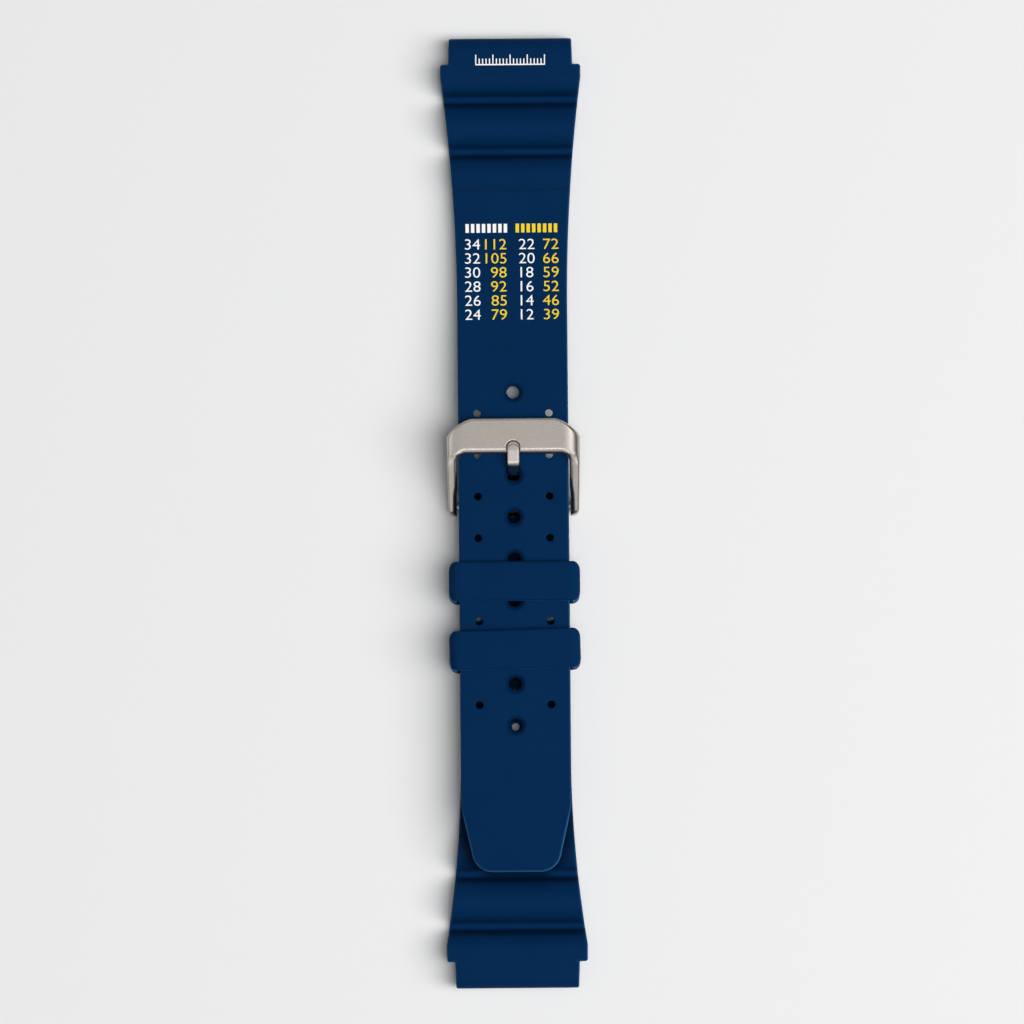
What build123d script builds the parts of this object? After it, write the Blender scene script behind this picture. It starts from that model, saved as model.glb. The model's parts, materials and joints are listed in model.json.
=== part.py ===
from build123d import *
import os
from math import cos, radians, sin

# A rubber dive strap lying face up with its buckle done up, in millimetres.
# +Y runs from the buckle half's lug end to the tail half's lug end, +X goes across the strap
# and +Z is up from the surface it lies on. The origin is under the middle of the whole length.
# A reach along a half is measured back from that half's nose.

# Lengths along the strap
short_reach = 86.8
hole_reach = 5.5
hole_row_reach = 64.15
hole_pitch = 7.5
hole_count = 9
free_hole_count = 2
tail_reach = 150.4

# Plan of both rubber halves
band_width = 20.0
neck_width = 22.0
neck_length = 4.85
shoulder_width = 25.3
long_shoulder_reach = 6.2
long_taper_reach = 49.0
short_shoulder_reach = 7.0
short_taper_reach = 42.0
tail_taper_length = 11.7
tail_end_width = 14.6
tail_corner_radius = 3.7

# Waves and lug bore, the same on both halves
lug_thickness = 4.5
lug_flat_reach = 7.3
lug_bore_radius = 1.0
web_thickness = 2.0
groove_1_reach = 11.1
groove_2_reach = 20.5
groove_floor_width = 0.6
groove_mouth_width = 1.6
groove_lip_rise = 0.6
outer_bulge_height = 4.3
inner_bulge_reach = 24.9
inner_bulge_height = 4.0
crease_reach = 27.8
crease_thickness = 3.35
flex_gap = 0.25

# Bands and how they lie on each other
short_thickness = 2.4
long_thickness = 2.3
stack_gap = 0.25
short_level_reach = 36.7
long_level_lead = 4.6
tail_gap = 0.3
tail_level_length = 6.7
tail_lift_run = 8.0

# Holes
hole_radius = 1.2
dish_radius = 2.02
dish_depth = 0.5
vent_radius = 0.7
vent_spread = 12.9
short_vent_pitch = 6.1
short_vent_pairs = 3
short_vent_singles = 3
short_pair_reach = 72.9
short_single_reach = 53.1

# Keepers
keeper_wall = 1.2
keeper_side_wall = 1.5
keeper_gap = 0.2
keeper_side_gap = 0.3
keeper_length = 7.05
keeper_plan_radius = 1.35
keeper_outer_radius = 1.6
keeper_inner_radius = 0.3
keeper_top_shift = 0.65
upper_keeper_reach = 13.5
lower_keeper_reach = 25.7
upper_keeper_turn = 0.0
lower_keeper_turn = 1.3

# Spring bar
bar_height = 2.2
tube_radius = 0.9
tube_bore_radius = 0.65
tube_end_gap = 0.2
tube_lip = 0.5
run_gap = 0.05
tip_radius = 0.45
tip_out = 1.25
plunger_length = 1.5
spring_wire_radius = 0.12
spring_pitch = 1.3
tip_chamfer = 0.12

# Short half's loop round the spring bar
loop_radius = 1.9
loop_lead = 5.0
tang_slot_gap = 0.25

# Buckle frame
leg_thickness = 1.65
leg_end_thickness = 1.2
frame_side_gap = 0.3
frame_end_radius = 1.7
front_back_reach = 9.8
front_depth = 6.1
front_thickness = 1.6
front_gap = 0.3
front_corner_run = 4.75
front_corner_drop = 3.15
front_edge_radius = 0.5
front_corner_side = 1.4
leg_foot_depth = 4.5
window_radius = 2.8
notch_width = 2.5
notch_length = 2.4
notch_depth = 0.8

# Tang
tang_width = 2.2
tang_waist = 1.6
tang_thickness = 0.9
tang_curl_wall = 0.75
tang_post_offset = 0.15
tang_lower_bend = 0.8
tang_upper_bend = 1.65
tang_over_gap = 0.25
tang_rest_gap = 0.05
tang_tip_reach = 11.8
tang_flat_length = 2.0
tang_waist_lead = 1.3
tang_waist_run = 0.8

# One length that every cut runs past the faces it opens, and one by which joined runs overlap
overrun = 5.0
overlap = 0.05

# What follows from the sizes above
used_reach = hole_row_reach + free_hole_count * hole_pitch
half_length = (short_reach + hole_reach + used_reach) / 2
bar_y = short_reach - half_length
hole_y = bar_y + hole_reach
tail_y = half_length - tail_reach
pivot_height = web_thickness / 2
lip_height = web_thickness + groove_lip_rise
short_under = keeper_wall + keeper_gap
short_top = short_under + short_thickness
long_under = short_top + stack_gap
long_top = long_under + long_thickness
long_over_loop = bar_height + loop_radius + stack_gap
keeper_opening = long_top + keeper_gap - keeper_wall
keeper_height = keeper_opening + 2 * keeper_wall
keeper_opening_width = band_width + 2 * keeper_side_gap
keeper_width = keeper_opening_width + 2 * keeper_side_wall
level_start_y = short_level_reach - half_length
level_end_y = bar_y - long_level_lead
frame_inner_half = band_width / 2 + frame_side_gap
frame_width = 2 * (frame_inner_half + leg_thickness)
frame_end_width = 2 * (frame_inner_half + leg_end_thickness)
tube_half_length = frame_inner_half - tube_end_gap
curl_radius = tube_radius + run_gap + tang_curl_wall


def from_nose(side, reach):
    """Where a reach back from a half's nose is along Y. side is 1 for the long half, -1 for the short."""
    return side * (half_length - reach)


def eased(y, y0, z0, y1, z1):
    """Height on a run that leaves y0, z0 level and arrives level at y1, z1."""
    t = (y - y0) / (y1 - y0)
    return z0 + (z1 - z0) * t * t * (3 - 2 * t)


def ease_line(y0, z0, y1, z1):
    """The same run as a curve of a side view."""
    third = (y1 - y0) / 3
    Bezier((y0, z0), (y0 + third, z0), (y1 - third, z1), (y1, z1))


def long_top_at(y):
    """Height of the long half's upper face between its crease and its level stretch."""
    if y > bar_y:
        crease_y = from_nose(1, crease_reach)
        return eased(y, crease_y, crease_thickness, bar_y, long_over_loop + long_thickness)
    if y > level_end_y:
        return eased(y, bar_y, long_over_loop + long_thickness, level_end_y, long_top)
    return long_top


front_under = long_top_at(bar_y + front_back_reach) + front_gap
front_top = front_under + front_thickness


def crest_under_tail():
    """Height of the highest form of the buckle half that the tail reaches over."""
    if tail_y < from_nose(-1, groove_1_reach):
        return max(lug_thickness, outer_bulge_height, inner_bulge_height)
    if tail_y < from_nose(-1, groove_2_reach):
        return max(outer_bulge_height, inner_bulge_height)
    return inner_bulge_height


def wave_line(side):
    """The nose, lug block, two grooves and two bulges of a half's upper side, from nose to crease."""
    nose = lug_thickness / 2
    lip_1_out = groove_1_reach - groove_mouth_width / 2
    lip_1_in = groove_1_reach + groove_mouth_width / 2
    lip_2_out = groove_2_reach - groove_mouth_width / 2
    lip_2_in = groove_2_reach + groove_mouth_width / 2
    crest = (groove_1_reach + groove_2_reach) / 2
    block_end = (from_nose(side, lug_flat_reach), lug_thickness)
    inward = (-side, 0)
    outward = (side, 0)
    ThreePointArc(
        (from_nose(side, nose), 0),
        (from_nose(side, 0), nose),
        (from_nose(side, nose), lug_thickness),
    )
    Line((from_nose(side, nose), lug_thickness), block_end)
    TangentArc(block_end, (from_nose(side, lip_1_out), lip_height), tangent=inward)
    groove_line(side, groove_1_reach)
    ThreePointArc(
        (from_nose(side, lip_1_in), lip_height),
        (from_nose(side, crest), outer_bulge_height),
        (from_nose(side, lip_2_out), lip_height),
    )
    groove_line(side, groove_2_reach)
    inner_crest = (from_nose(side, inner_bulge_reach), inner_bulge_height)
    TangentArc(inner_crest, (from_nose(side, lip_2_in), lip_height), tangent=outward)
    TangentArc(inner_crest, (from_nose(side, crease_reach), crease_thickness), tangent=inward)


def groove_line(side, reach):
    """One groove: down to its narrow floor and up to the next lip."""
    Polyline(
        (from_nose(side, reach - groove_mouth_width / 2), lip_height),
        (from_nose(side, reach - groove_floor_width / 2), web_thickness),
        (from_nose(side, reach + groove_floor_width / 2), web_thickness),
        (from_nose(side, reach + groove_mouth_width / 2), lip_height),
    )


def lug_plan(side, shoulder_reach, taper_reach):
    """Right edge of a half in plan, from its nose past neck and shoulder to the parallel band."""
    start = (shoulder_width / 2, from_nose(side, shoulder_reach))
    middle = (band_width / 2, from_nose(side, (shoulder_reach + taper_reach) / 2))
    end = (band_width / 2, from_nose(side, taper_reach))
    Polyline(
        (0, from_nose(side, 0)),
        (neck_width / 2, from_nose(side, 0)),
        (neck_width / 2, from_nose(side, neck_length)),
        (shoulder_width / 2, from_nose(side, neck_length)),
        start,
    )
    Bezier(start, middle, end)


def bore_lug(side):
    """Cut the bore for the watch's own spring bar across a lug end."""
    centre = (0, from_nose(side, lug_thickness / 2), lug_thickness / 2)
    with Locations(centre):
        Cylinder(lug_bore_radius, neck_width + overrun, rotation=(0, 90, 0), mode=Mode.SUBTRACT)


def make_long_half():
    """The whole tail half: side view drawn across, cut to its plan, then holed."""
    crease_y = from_nose(1, crease_reach)
    loop_top = long_over_loop + long_thickness
    tail_under = max(long_under, crest_under_tail() + tail_gap)
    tail_top = tail_under + long_thickness
    lifted_y = max(tail_y + tail_level_length, from_nose(-1, crease_reach))
    lift_y = lifted_y + tail_lift_run
    with BuildPart() as half:
        with BuildSketch(Plane.YZ):
            with BuildLine():
                wave_line(1)
                ease_line(crease_y, crease_thickness, bar_y, loop_top)
                ease_line(bar_y, loop_top, level_end_y, long_top)
                Line((level_end_y, long_top), (lift_y, long_top))
                ease_line(lift_y, long_top, lifted_y, tail_top)
                Polyline(
                    (lifted_y, tail_top),
                    (tail_y, tail_top),
                    (tail_y, tail_under),
                    (lifted_y, tail_under),
                )
                ease_line(lifted_y, tail_under, lift_y, long_under)
                Line((lift_y, long_under), (level_end_y, long_under))
                ease_line(level_end_y, long_under, bar_y, long_over_loop)
                ease_line(bar_y, long_over_loop, crease_y, 0)
                Line((crease_y, 0), (from_nose(1, lug_thickness / 2), 0))
            make_face()
        extrude(amount=shoulder_width, both=True)
        with BuildSketch(Plane.XY) as plan:
            with BuildLine():
                lug_plan(1, long_shoulder_reach, long_taper_reach)
                Polyline(
                    (band_width / 2, from_nose(1, long_taper_reach)),
                    (band_width / 2, tail_y + tail_taper_length),
                    (tail_end_width / 2, tail_y),
                    (0, tail_y),
                    (0, from_nose(1, 0)),
                )
            make_face()
            mirror(about=Plane.YZ)
            fillet(plan.vertices().group_by(Axis.Y)[0], tail_corner_radius)
        extrude(amount=long_top + overrun, both=True, mode=Mode.INTERSECT)
        bore_lug(1)
        hole_rows = [from_nose(1, hole_row_reach + i * hole_pitch) for i in range(hole_count)]
        through = long_top + overrun
        slope_radius = dish_radius + (dish_radius - hole_radius) * overrun / dish_depth
        with Locations(*[(0, y, 0) for y in hole_rows]):
            Cylinder(hole_radius, through, align=(Align.CENTER, Align.CENTER, Align.MIN), mode=Mode.SUBTRACT)
        with Locations(*[(0, y, long_top_at(y) - dish_depth) for y in hole_rows]):
            Cone(
                hole_radius,
                slope_radius,
                dish_depth + overrun,
                align=(Align.CENTER, Align.CENTER, Align.MIN),
                mode=Mode.SUBTRACT,
            )
        vent_rows = [y - hole_pitch / 2 for y in hole_rows[:-1]]
        with Locations(*[(x * vent_spread / 2, y, 0) for y in vent_rows for x in (-1, 1)]):
            Cylinder(vent_radius, through, align=(Align.CENTER, Align.CENTER, Align.MIN), mode=Mode.SUBTRACT)
    return half.part


def make_short_half():
    """The whole buckle half, which ends in a loop round the spring bar with a slot for the tang."""
    crease_y = from_nose(-1, crease_reach)
    lead_y = bar_y - loop_lead
    with BuildPart() as half:
        with BuildSketch(Plane.YZ):
            with BuildLine():
                wave_line(-1)
                ease_line(crease_y, crease_thickness, level_start_y, short_top)
                Line((level_start_y, short_top), (lead_y, short_top))
                ease_line(lead_y, short_top, bar_y, bar_height + loop_radius)
                ThreePointArc(
                    (bar_y, bar_height + loop_radius),
                    (bar_y + loop_radius, bar_height),
                    (bar_y, bar_height - loop_radius),
                )
                ease_line(bar_y, bar_height - loop_radius, lead_y, short_under)
                Line((lead_y, short_under), (level_start_y, short_under))
                ease_line(level_start_y, short_under, crease_y, 0)
                Line((crease_y, 0), (from_nose(-1, lug_thickness / 2), 0))
            make_face()
        extrude(amount=shoulder_width, both=True)
        with BuildSketch(Plane.XY):
            with BuildLine():
                lug_plan(-1, short_shoulder_reach, short_taper_reach)
                Polyline(
                    (band_width / 2, from_nose(-1, short_taper_reach)),
                    (band_width / 2, bar_y + loop_radius),
                    (0, bar_y + loop_radius),
                    (0, from_nose(-1, 0)),
                )
            make_face()
            mirror(about=Plane.YZ)
        extrude(amount=short_top + overrun, both=True, mode=Mode.INTERSECT)
        bore_lug(-1)
        with Locations((0, bar_y, bar_height)):
            Cylinder(tube_radius + run_gap, band_width + overrun, rotation=(0, 90, 0), mode=Mode.SUBTRACT)
        slot_back = bar_y - curl_radius - tang_slot_gap
        with BuildSketch(Plane.XY):
            with Locations((0, slot_back)):
                Rectangle(
                    tang_width + 2 * tang_slot_gap,
                    bar_y + loop_radius + overrun - slot_back,
                    align=(Align.CENTER, Align.MIN),
                )
        extrude(amount=short_top + overrun, both=True, mode=Mode.SUBTRACT)
        pair_rows = [from_nose(-1, short_pair_reach - i * short_vent_pitch) for i in range(short_vent_pairs)]
        single_rows = [from_nose(-1, short_single_reach - i * short_vent_pitch) for i in range(short_vent_singles)]
        spots = [(x * vent_spread / 2, y) for y in pair_rows for x in (-1, 1)]
        spots += [(0, y) for y in single_rows]
        with Locations(*spots):
            Cylinder(vent_radius, short_top + overrun, mode=Mode.SUBTRACT)
            Cylinder(vent_radius, short_top + overrun, align=(Align.CENTER, Align.CENTER, Align.MIN), mode=Mode.SUBTRACT)
    return half.part


def make_section(side, whole, start_reach, end_reach, label):
    """One stiff length of a half between two grooves. It keeps the outer groove's web, rounded off
    about the line on which the web bends, and starts one flex gap past the next web's round end."""
    start = from_nose(side, start_reach)
    end = from_nose(side, end_reach)
    high = long_top + overrun
    with BuildPart() as section:
        add(whole)
        with BuildSketch(Plane.YZ):
            with BuildLine():
                Polyline(
                    (start, -overrun),
                    (end, -overrun),
                    (end, high),
                    (start, high),
                    close=True,
                )
            make_face()
            if end_reach in (groove_1_reach, groove_2_reach):
                with Locations((end, pivot_height)):
                    Circle(pivot_height)
        extrude(amount=shoulder_width, both=True, mode=Mode.INTERSECT)
    section.part.label = label
    export_step(section.part, f"parts/{label}.step")


def make_keeper(reach, turn, label):
    """A moulded ring round both halves, leaning forward at the top."""
    middle = Plane(
        origin=(0, bar_y - reach - keeper_top_shift, 0),
        x_dir=(cos(radians(turn)), sin(radians(turn)), 0),
        z_dir=(0, 0, 1),
    )
    along = Plane(origin=middle.origin, x_dir=middle.x_dir, z_dir=-middle.y_dir)
    lean = middle.y_dir * keeper_top_shift + middle.z_dir * keeper_height
    with BuildPart() as keeper:
        with BuildSketch(middle):
            RectangleRounded(keeper_width, keeper_length, keeper_plan_radius)
        extrude(amount=lean.length, dir=lean)
        with BuildSketch(along):
            with Locations((0, keeper_height / 2)):
                RectangleRounded(keeper_width, keeper_height, keeper_outer_radius)
        extrude(amount=keeper_length, both=True, mode=Mode.INTERSECT)
        with BuildSketch(along):
            with Locations((0, keeper_wall + keeper_opening / 2)):
                RectangleRounded(keeper_opening_width, keeper_opening, keeper_inner_radius)
        extrude(amount=keeper_length, both=True, mode=Mode.SUBTRACT)
    keeper.part.label = label
    export_step(keeper.part, f"parts/{label}.step")


def make_frame():
    """The stirrup of the buckle: a wide front bar over the strap and two legs back to the spring bar."""
    back_y = bar_y + front_back_reach
    front_y = back_y + front_depth
    outer = frame_width / 2
    bar_start_y = back_y - window_radius
    with BuildPart() as frame:
        with BuildSketch(Plane.YZ):
            with Locations((bar_start_y, front_under)):
                Rectangle(front_y - bar_start_y, front_thickness, align=(Align.MIN, Align.MIN))
        extrude(amount=outer, both=True)
        fillet(frame.edges().filter_by(Axis.X).group_by(Axis.Y)[-1], front_edge_radius)
        with BuildSketch(Plane.XY.offset(front_under - overrun)):
            with Locations((0, bar_y)):
                RectangleRounded(2 * frame_inner_half, 2 * front_back_reach, window_radius)
        extrude(amount=2 * overrun, mode=Mode.SUBTRACT)
        for side in (-1, 1):
            with BuildSketch(Plane.YZ.offset(side * frame_inner_half)):
                with Locations((bar_y, bar_height)):
                    Circle(frame_end_radius)
                with Locations((back_y, front_under)):
                    Rectangle(leg_foot_depth, front_thickness, align=(Align.MIN, Align.MIN))
                make_hull()
            extrude(amount=side * (outer - frame_inner_half))
        with BuildSketch(Plane.XY):
            with BuildLine():
                Polyline(
                    (0, front_y),
                    (outer - front_corner_run, front_y),
                )
                Bezier(
                    (outer - front_corner_run, front_y),
                    (outer - front_corner_side, front_y),
                    (outer, front_y - front_corner_side),
                    (outer, front_y - front_corner_drop),
                )
                Polyline(
                    (outer, front_y - front_corner_drop),
                    (outer, back_y),
                    (frame_end_width / 2, bar_y),
                    (frame_end_width / 2, bar_y - frame_end_radius),
                    (0, bar_y - frame_end_radius),
                    (0, front_y),
                )
            make_face()
            mirror(about=Plane.YZ)
        extrude(amount=front_top + overrun, both=True, mode=Mode.INTERSECT)
        with Locations((0, bar_y, bar_height)):
            Cylinder(tip_radius + run_gap, frame_width + overrun, rotation=(0, 90, 0), mode=Mode.SUBTRACT)
        with BuildSketch(Plane.XY.offset(front_top - notch_depth)):
            with Locations((0, back_y + notch_length - notch_width / 2)):
                Circle(notch_width / 2)
            with Locations((0, back_y + notch_length - notch_width / 2)):
                Rectangle(notch_width, notch_length + overrun, align=(Align.CENTER, Align.MAX))
        extrude(amount=overrun, mode=Mode.SUBTRACT)
    frame.part.label = "buckle_frame"
    export_step(frame.part, "parts/buckle_frame.step")


def make_tang():
    """The tongue: curled round the tube, along under the strap, up through the hole, over to the notch."""
    post_y = hole_y + tang_post_offset
    rest_height = front_top - notch_depth + tang_rest_gap + tang_thickness / 2
    over_height = long_top_at(hole_y) + tang_over_gap + tang_thickness / 2
    tip_y = bar_y + tang_tip_reach
    flat_y = tip_y - tang_flat_length
    over_y = post_y + tang_upper_bend
    waist = tang_waist / 2
    half = tang_width / 2
    with BuildPart() as tang:
        with BuildSketch(Plane.YZ):
            with BuildLine():
                FilletPolyline(
                    (bar_y + tube_radius + run_gap, bar_height),
                    (post_y, bar_height),
                    (post_y, over_height),
                    (over_y, over_height),
                    radius=(tang_lower_bend, tang_upper_bend - overlap),
                )
                Polyline(
                    (over_y - overlap, over_height),
                    (over_y, over_height),
                    (flat_y, rest_height),
                    (tip_y, rest_height),
                )
            trace(line_width=tang_thickness)
            with Locations((bar_y, bar_height)):
                Circle(curl_radius)
                Circle(tube_radius + run_gap, mode=Mode.SUBTRACT)
        extrude(amount=half, both=True)
        with BuildSketch(Plane.XY):
            with BuildLine():
                Polyline(
                    (0, bar_y - curl_radius),
                    (half, bar_y - curl_radius),
                    (half, hole_y - tang_waist_lead - tang_waist_run),
                    (waist, hole_y - tang_waist_lead),
                    (waist, hole_y + tang_waist_lead),
                    (half, hole_y + tang_waist_lead + tang_waist_run),
                    (half, tip_y - half),
                )
                ThreePointArc(
                    (half, tip_y - half),
                    (half * sin(radians(45)), tip_y - half + half * cos(radians(45))),
                    (0, tip_y),
                )
                Line((0, tip_y), (0, bar_y - curl_radius))
            make_face()
            mirror(about=Plane.YZ)
        extrude(amount=front_top + overrun, both=True, mode=Mode.INTERSECT)
    tang.part.label = "buckle_tang"
    export_step(tang.part, "parts/buckle_tang.step")


def make_tube():
    """The spring bar's tube, rolled in at both ends to a lip that keeps the plungers in."""
    with BuildPart() as tube:
        with Locations((0, bar_y, bar_height)):
            Cylinder(tube_radius, 2 * tube_half_length, rotation=(0, 90, 0))
            Cylinder(
                tube_bore_radius,
                2 * (tube_half_length - tube_lip),
                rotation=(0, 90, 0),
                mode=Mode.SUBTRACT,
            )
            Cylinder(tip_radius + run_gap, 2 * tube_half_length + overrun, rotation=(0, 90, 0), mode=Mode.SUBTRACT)
    tube.part.label = "spring_bar_tube"
    export_step(tube.part, "parts/spring_bar_tube.step")


def make_tip(side, label):
    """A plunger inside the tube with the pin that stands out into the frame's eye."""
    head_out = tube_half_length - tube_lip - run_gap
    with BuildPart() as tip:
        with BuildSketch(Plane.YZ.offset(side * (head_out - plunger_length))):
            with Locations((bar_y, bar_height)):
                Circle(tube_bore_radius - run_gap)
        extrude(amount=side * plunger_length)
        with BuildSketch(Plane.YZ.offset(side * head_out)):
            with Locations((bar_y, bar_height)):
                Circle(tip_radius)
        extrude(amount=side * (tube_half_length + tip_out - head_out))
        outer_face = tip.faces().sort_by(Axis.X)[-1 if side > 0 else 0]
        chamfer(outer_face.edges(), tip_chamfer)
    tip.part.label = label
    export_step(tip.part, f"parts/{label}.step")


def make_spring():
    """The coil spring between the two plungers."""
    length = 2 * (tube_half_length - tube_lip - run_gap - plunger_length - spring_wire_radius - run_gap)
    coil_radius = tube_bore_radius - run_gap - spring_wire_radius
    start = (-length / 2, bar_y, bar_height)
    with BuildPart() as spring:
        with BuildLine() as path:
            Helix(spring_pitch, length, coil_radius, center=start, direction=(1, 0, 0))
        with BuildSketch(path.line ^ 0):
            Circle(spring_wire_radius)
        sweep()
    spring.part.label = "spring_bar_spring"
    export_step(spring.part, "parts/spring_bar_spring.step")


os.makedirs("parts", exist_ok=True)

for side, make_half, name in ((1, make_long_half, "long"), (-1, make_short_half, "short")):
    whole = make_half()
    ends = (-overrun, groove_1_reach, groove_2_reach, tail_reach + overrun)
    for i, section in enumerate(("lug_end", "wave", "band")):
        start_reach = ends[i] if i == 0 else ends[i] + pivot_height + flex_gap
        make_section(side, whole, start_reach, ends[i + 1], f"{name}_strap_{section}")

make_keeper(upper_keeper_reach, upper_keeper_turn, "keeper_upper")
make_keeper(lower_keeper_reach, lower_keeper_turn, "keeper_lower")
make_frame()
make_tang()
make_tube()
make_tip(-1, "spring_bar_tip_left")
make_tip(1, "spring_bar_tip_right")
make_spring()
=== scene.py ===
import json
import bmesh
import bpy
import numpy as np
from mathutils import Matrix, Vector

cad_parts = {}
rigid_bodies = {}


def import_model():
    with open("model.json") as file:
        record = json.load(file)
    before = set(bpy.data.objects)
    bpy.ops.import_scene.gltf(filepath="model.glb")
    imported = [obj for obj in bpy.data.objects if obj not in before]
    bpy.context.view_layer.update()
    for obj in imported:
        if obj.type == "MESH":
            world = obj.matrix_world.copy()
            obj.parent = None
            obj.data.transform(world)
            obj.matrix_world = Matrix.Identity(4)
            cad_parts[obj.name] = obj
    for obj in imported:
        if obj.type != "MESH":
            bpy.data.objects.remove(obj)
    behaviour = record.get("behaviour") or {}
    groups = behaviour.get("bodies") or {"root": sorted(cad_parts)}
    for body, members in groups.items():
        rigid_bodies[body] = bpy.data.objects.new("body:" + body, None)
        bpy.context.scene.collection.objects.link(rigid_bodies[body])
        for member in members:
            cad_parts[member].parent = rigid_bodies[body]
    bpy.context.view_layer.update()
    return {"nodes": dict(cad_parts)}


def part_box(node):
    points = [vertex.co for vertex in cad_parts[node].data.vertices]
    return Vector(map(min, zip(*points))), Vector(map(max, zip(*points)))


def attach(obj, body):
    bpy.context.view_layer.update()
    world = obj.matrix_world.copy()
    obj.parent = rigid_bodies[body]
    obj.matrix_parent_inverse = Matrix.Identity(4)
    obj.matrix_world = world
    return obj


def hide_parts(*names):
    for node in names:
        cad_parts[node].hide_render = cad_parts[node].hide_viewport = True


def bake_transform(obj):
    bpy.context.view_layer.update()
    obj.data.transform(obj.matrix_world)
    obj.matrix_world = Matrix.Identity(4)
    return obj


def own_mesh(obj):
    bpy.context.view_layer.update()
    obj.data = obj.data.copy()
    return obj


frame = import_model()

# The rubber dive strap, dressed. Shapes are worked out in millimetres in the frame's axes:
# +Y runs from the buckle half's lug end to the tail half's lug end, +X goes across and +Z is up.
# A reach is measured back from a half's own nose.
MM = 0.001
SHARP = 38.0


def node_box(name):
    """Lowest and highest corners of a node at rest, in millimetres."""
    return np.array(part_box(name)) / MM


# Lengths along the strap
HALF_LENGTH = node_box("long_strap_lug_end")[1][1]
BAR_Y, BAR_HEIGHT = node_box("spring_bar_tube").mean(axis=0)[1:]
TAIL_Y = node_box("long_strap_band")[0][1]
TAIL_REACH = HALF_LENGTH - TAIL_Y
CREASE = 27.8
GROOVE_1 = 11.1
GROOVE_2 = 20.5
BULGE_1 = 15.8
BULGE_2 = 24.65

# Heights of the wave, the same on both halves
LUG = 4.5
LUG_FLAT = 6.75
BULGE_1_HEIGHT = 4.3
BULGE_2_HEIGHT = 4.0
CREASE_HEIGHT = 3.35
WEB = 1.45
GROOVE_MOUTH = 0.8
GROOVE_ROUND = 0.9
LIP_HEIGHT = WEB + GROOVE_ROUND - (GROOVE_ROUND ** 2 - GROOVE_MOUTH ** 2) ** 0.5
GROOVE_SOFT = 0.06
TABLE_END = CREASE + 8

# Plan of the halves
BAND = 9.92
NECK = 11.06
NECK_FLARE = 0.12
NECK_REACH = 4.85
SHOULDER = 12.65
NECK_FILLET = 0.2
SHOULDER_ROUND = 0.5
NOSE_ROUND = 0.42
TAPER = {1: (7.2, 49.0), -1: (8.0, 42.0)}
TAIL_TAPER = 11.7
TAIL_END = 7.3
TAIL_CORNER = 3.7
EDGE_ROUND = 0.45

# How the bands lie
LONG_THICK = 2.3
LONG_UNDER = 4.05
LONG_CREST = 4.35
LEVEL_Y = BAR_Y - 4.6
TAIL_UNDER = 4.3
LIFTED_Y = CREASE - HALF_LENGTH
LIFT_Y = LIFTED_Y + 8.0
SHORT_TOP = 3.8
SHORT_UNDER = 1.4
SHORT_LEVEL_Y = 36.7 - HALF_LENGTH
LOOP = 1.9
LOOP_NOSE = 2.5
LOOP_LEAD = 5.0
SLOT_BACK = 1.78
SLOT_HALF = 1.35

# Holes
HOLE_ROW = 64.15
HOLE_PITCH = 7.5
HOLES = 9
HOLE = 1.14
DISH = 1.95
DISH_DEPTH = 0.42
DISH_SHADE = 0.42
HOLE_BLOCK = 2.3
VENT = 0.7
VENT_X = 6.45
VENT_BLOCK = 1.2
SHORT_PITCH = 6.1
SHORT_PAIRS = (72.9, 66.8, 60.7)
SHORT_SINGLES = (53.1, 47.0, 40.9)
LUG_BORE = 1.0
LUG_BLOCK = (1.3, 1.35)
BAR_BORE = 0.95
BAR_BLOCK = 1.2
WALL_STEPS = 8
WAVE_END = 28.4

# Painted shade and painted highlights that the rubber's material reads, from 0 to 1, and how far they reach
GROOVE_WALLS = ((0.8, 0.32), (-0.85, 0.6))
WALL_OUT = 0.6
WALL_IN = 0.28
FOOT_SHADE = 0.2
FOOT_RUN = 1.7
# painted highlight along the rounded edges: its strength, the extra on the tail, where that extra starts, how
# far in it reaches and how softly it ends
PAINTED_HIGHLIGHT = 0.35
PAINTED_HIGHLIGHT_TAIL = 0.45
PAINTED_HIGHLIGHT_START = 3
PAINTED_HIGHLIGHT_IN = 0.34
PAINTED_HIGHLIGHT_SOFT = 0.2
UNDER_SHADE = 0.9
UNDER_IN = 1.2
TAIL_SHADE = 0.7
TAIL_SHADE_RUN = 1.8


# Mesh tools

def link(name, data):
    """Put a mesh, curve, lamp or camera into the scene as an object."""
    thing = bpy.data.objects.new(name, data)
    bpy.context.collection.objects.link(thing)
    return thing


def put_mesh(name, points, faces, material, marks=None):
    """Make one closed piece from points in millimetres, with its doubles merged, its faces turned
    outwards, and every edge sharper than SHARP degrees kept sharp in shading. marks holds numbers
    for each point that the material reads: deep, painted shade for how far it lies out of the light,
    and a painted highlight on the rounded edges."""
    used, flat = np.unique(np.concatenate([np.ravel(f) for f in faces]), return_inverse=True)
    lists, at = [], 0
    for block in faces:
        size = block.size
        lists += flat[at:at + size].reshape(block.shape).tolist()
        at += size
    mesh = bpy.data.meshes.new(name)
    mesh.from_pydata((points[used] * MM).tolist(), [], lists)
    for mark, values in (marks or {}).items():
        attribute = mesh.attributes.new(mark, "FLOAT", "POINT")
        attribute.data.foreach_set("value", values[used].astype(np.float32))
    work = bmesh.new()
    work.from_mesh(mesh)
    bmesh.ops.remove_doubles(work, verts=work.verts, dist=2e-7)
    bmesh.ops.dissolve_degenerate(work, edges=work.edges, dist=1e-8)
    bmesh.ops.recalc_face_normals(work, faces=work.faces)
    work.to_mesh(mesh)
    work.free()
    mesh.shade_smooth()
    mesh.set_sharp_from_angle(angle=np.radians(SHARP))
    mesh.materials.append(material)
    return link(name, mesh)


def unit(way):
    """Directions, each as long as one."""
    return way / np.linalg.norm(way, axis=-1, keepdims=True)


def bridge(a, b):
    """Quads between two rings of equally many vertices, in the same order."""
    return np.stack([a, np.roll(a, -1), np.roll(b, -1), b], axis=1)


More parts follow.
